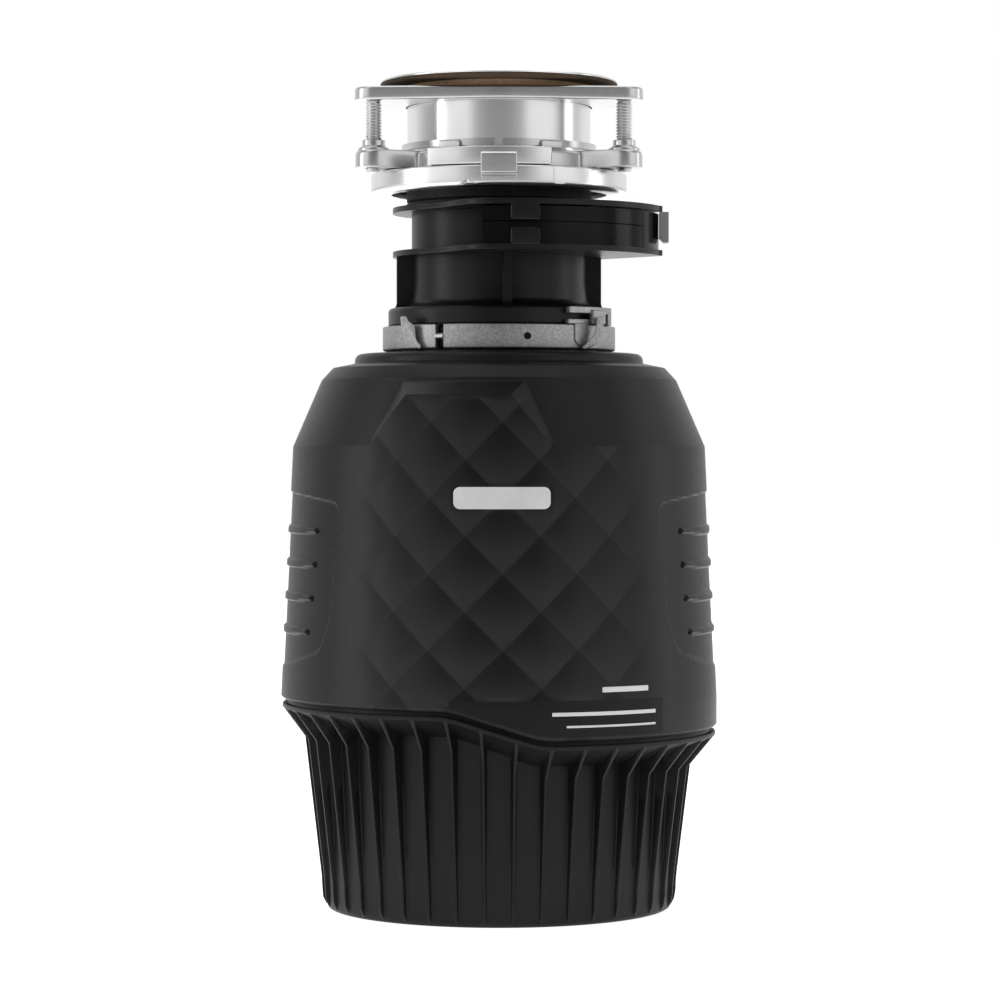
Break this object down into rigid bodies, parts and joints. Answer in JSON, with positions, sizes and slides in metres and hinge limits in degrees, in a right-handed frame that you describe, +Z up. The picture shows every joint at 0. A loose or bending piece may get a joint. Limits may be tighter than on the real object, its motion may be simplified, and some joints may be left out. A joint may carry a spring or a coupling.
{
  "type": "kitchen garbage disposal",
  "caption": "Batch-feed kitchen garbage disposal: sink flange with screw mount, black throat with side sensor housing, quilted charcoal shell, ribbed base and a motor inside.",
  "frame": {"origin": "centre of the foot ring, on the surface it stands on", "axes": "+Z up the motor axis towards the sink, -Y the quilted front, +X to the right seen from the front, +Y the discharge"},
  "size_m": [0.2088, 0.2088, 0.3952],
  "materials": {
    "shell_plastic": "moulded charcoal plastic, fine grain",
    "base_plastic": "moulded charcoal plastic, fine grain",
    "neck_plastic": "moulded black plastic",
    "sensor_plastic": "glossy black",
    "tab_plastic": "light grey, satin",
    "bright_steel": "bright satin",
    "screw_steel": "zinc plated",
    "flange_steel": "bright pressed steel",
    "ring_aluminium": "bright satin",
    "zinc_steel": "galvanised, mottled",
    "cast_aluminium": "as cast",
    "grind_steel": "stainless",
    "lamination_steel": "stacked laminations",
    "copper": "enamelled copper",
    "black_rubber": "matt",
    "brown_fibre": "pressed fibre",
    "grey_foam": "open foam",
    "red_plastic": "satin",
    "board_green": "circuit board",
    "magnet_iron": "sintered",
    "plate_grey": "satin, blank"
  },
  "bodies": {
    "housing": {"backup_flange": "flange_steel", "clamp_draw_pin": "screw_steel", "cushion_mount": "black_rubber", "discharge_bolts": "screw_steel", "discharge_flange": "zinc_steel", "discharge_gasket": "black_rubber", "dishwasher_knockout": "neck_plastic", "drain_housing": "cast_aluminium", "fibre_gasket": "brown_fibre", "grind_chamber": "neck_plastic", "grind_ring": "grind_steel", "lower_bearing": "copper", "lower_end_frame": "cast_aluminium", "motor_shroud": "zinc_steel", "mounting_ring": "flange_steel", "name_plate": "plate_grey", "neck_clamp_ring": "zinc_steel", "neck_gasket": "black_rubber", "overload_protector": "neck_plastic", "ribbed_base": "base_plastic", "sensor_board": "board_green", "sensor_end_cap": "sensor_plastic", "sensor_housing_lower": "sensor_plastic", "sensor_housing_upper": "sensor_plastic", "sensor_latch_tab": "tab_plastic", "shaft_seal": "black_rubber", "sink_flange": "bright_steel", "snap_ring": "flange_steel", "sound_insulation": "grey_foam", "start_relay": "neck_plastic", "stator_core": "lamination_steel", "stator_windings": "copper", "terminal_cover": "zinc_steel", "terminal_cover_screw": "screw_steel", "throat_neck": "neck_plastic", "through_bolts": "screw_steel", "upper_bearing": "copper", "upper_shell": "shell_plastic"},
    "rotor": {"motor_shaft": "grind_steel", "rotor_core": "lamination_steel", "shredder_plate": "grind_steel", "lug_rivets": "grind_steel", "plate_nut": "grind_steel", "water_slinger": "black_rubber"},
    "lug_front": {"swivel_lug_front": "grind_steel"},
    "lug_rear": {"swivel_lug_rear": "grind_steel"},
    "reset_button": {"reset_button": "red_plastic"},
    "lock_ring": {"lower_mounting_ring": "ring_aluminium"},
    "screw_left": {"mounting_screw_left": "screw_steel"},
    "screw_right": {"mounting_screw_right": "screw_steel"},
    "screw_rear": {"mounting_screw_rear": "screw_steel"},
    "cover_seal": {"cover_seal": "black_rubber"},
    "cover": {"cover_plug": "neck_plastic", "cover_handle": "neck_plastic", "cover_magnets": "magnet_iron"}
  },
  "joints": [
    {"name": "rotor_spin", "type": "hinge", "parent": "housing", "child": "rotor", "pos_m": [0, 0, 0.16], "axis": [0, 0, 1], "continuous": true},
    {"name": "lug_front_swivel", "type": "hinge", "parent": "rotor", "child": "lug_front", "pos_m": [0, -0.046, 0.193], "axis": [0, 0, 1], "continuous": true},
    {"name": "lug_rear_swivel", "type": "hinge", "parent": "rotor", "child": "lug_rear", "pos_m": [0, 0.046, 0.193], "axis": [0, 0, 1], "continuous": true},
    {"name": "reset_button_press", "type": "slide", "parent": "housing", "child": "reset_button", "axis": [0, 0, 1], "range_m": [0, 0.0025], "stiffness_N_per_m": 400, "springref_m": -0.001},
    {"name": "lock_ring_turn", "type": "hinge", "parent": "housing", "child": "lock_ring", "pos_m": [0, 0, 0.345], "axis": [0, 0, 1], "range_deg": [0, 30]},
    {"name": "screw_left_travel", "type": "slide", "parent": "housing", "child": "screw_left", "axis": [0, 0, -1], "range_m": [0, 0.012]},
    {"name": "screw_right_travel", "type": "slide", "parent": "housing", "child": "screw_right", "axis": [0, 0, -1], "range_m": [0, 0.012]},
    {"name": "screw_rear_travel", "type": "slide", "parent": "housing", "child": "screw_rear", "axis": [0, 0, -1], "range_m": [0, 0.012]},
    {"name": "cover_lift", "type": "slide", "parent": "housing", "child": "cover_seal", "axis": [0, 0, 1], "range_m": [0, 0.13]},
    {"name": "cover_turn", "type": "hinge", "parent": "cover_seal", "child": "cover", "pos_m": [0, 0, 0.373], "axis": [0, 0, 1], "range_deg": [0, 45]}
  ]
}
